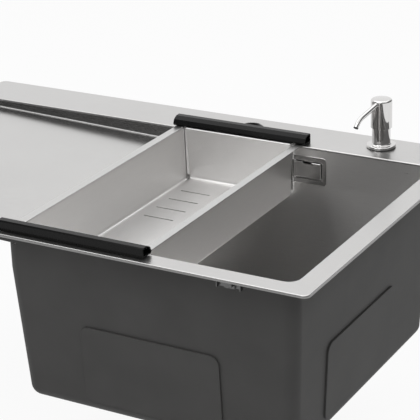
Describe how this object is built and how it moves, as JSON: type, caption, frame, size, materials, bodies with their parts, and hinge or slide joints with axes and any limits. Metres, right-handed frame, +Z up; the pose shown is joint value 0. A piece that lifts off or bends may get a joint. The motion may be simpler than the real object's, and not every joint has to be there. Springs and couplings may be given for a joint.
{
  "type": "workstation kitchen sink",
  "caption": "Inset steel kitchen sink with a sloped drainboard, a deep bowl with overflow and basket waste, a sliding colander tray and a pump soap dispenser.",
  "frame": {"origin": "centre of the tap hole on the top face of the deck", "axes": "+X along the deck from the drainboard to the bowl, +Y from the front edge to the tap ledge, +Z up out of the deck"},
  "size_m": [0.78, 0.51, 0.4093],
  "materials": {
    "satin_steel": "fine satin",
    "bowl_coat": "matt sound-deadening coat outside, satin steel inside",
    "pad_coat": "matt sound-deadening coat over a pad",
    "zinc_steel": "zinc-plated sheet",
    "bright_steel": "polished",
    "tray_steel": "satin",
    "dispenser_steel": "brushed",
    "handle_black": "satin black",
    "black_plastic": "moulded",
    "white_plastic": "moulded",
    "clear_plastic": "translucent blow-moulded",
    "black_rubber": "smooth"
  },
  "bodies": {
    "sink": {"deck": "satin_steel", "drainboard": "satin_steel", "bowl": "bowl_coat", "pad_front": "pad_coat", "pad_rear": "pad_coat", "pad_left": "pad_coat", "pad_right": "pad_coat", "pad_base": "pad_coat", "drainboard_stiffeners": "zinc_steel", "tap_brace": "zinc_steel", "rim_seal": "black_rubber", "clip_brackets": "zinc_steel", "clip_hooks": "zinc_steel", "clip_screws": "zinc_steel", "overflow_frame": "satin_steel", "overflow_cover": "satin_steel", "overflow_gasket": "black_rubber", "overflow_housing": "white_plastic", "overflow_screws": "zinc_steel", "overflow_pipe": "white_plastic", "pipe_nuts": "white_plastic", "strainer_cup": "bright_steel", "strainer_seal": "black_rubber", "waste_gasket": "black_rubber", "waste_body": "white_plastic", "waste_screw": "bright_steel", "dispenser_seal": "black_rubber", "dispenser_shank": "black_plastic", "dispenser_collar": "dispenser_steel", "shank_washer": "black_rubber", "shank_nut": "black_plastic", "pump_barrel": "black_plastic", "pump_spring": "bright_steel", "dip_tube": "clear_plastic", "soap_bottle": "clear_plastic"},
    "tray": {"tray_body": "tray_steel", "tray_handle_front": "handle_black", "tray_handle_rear": "handle_black"},
    "basket": {"strainer_basket": "bright_steel", "basket_knob": "bright_steel", "basket_stopper": "black_rubber"},
    "pump_plunger": {"pump_stem": "dispenser_steel", "pump_piston": "black_rubber"},
    "pump_head": {"pump_cap": "dispenser_steel", "pump_spout": "dispenser_steel", "spout_nozzle": "black_plastic"},
    "inlet_valve": {"inlet_ball": "bright_steel"}
  },
  "joints": [
    {"name": "tray_slide", "type": "slide", "parent": "sink", "child": "tray", "axis": [1, 0, 0], "range_m": [-0.013, 0.198]},
    {"name": "basket_lift", "type": "slide", "parent": "sink", "child": "basket", "axis": [0, 0, 1], "range_m": [0, 0.05]},
    {"name": "pump_press", "type": "slide", "parent": "sink", "child": "pump_plunger", "axis": [0, 0, -1], "range_m": [0, 0.012], "stiffness_N_per_m": 400, "springref_m": -0.01, "deforming": ["pump_spring"]},
    {"name": "head_swivel", "type": "hinge", "parent": "pump_plunger", "child": "pump_head", "pos_m": [0.201, 0, 0.06], "axis": [0, 0, 1], "continuous": true},
    {"name": "inlet_valve_lift", "type": "slide", "parent": "sink", "child": "inlet_valve", "axis": [0, 0, 1], "range_m": [0, 0.0015]}
  ]
}
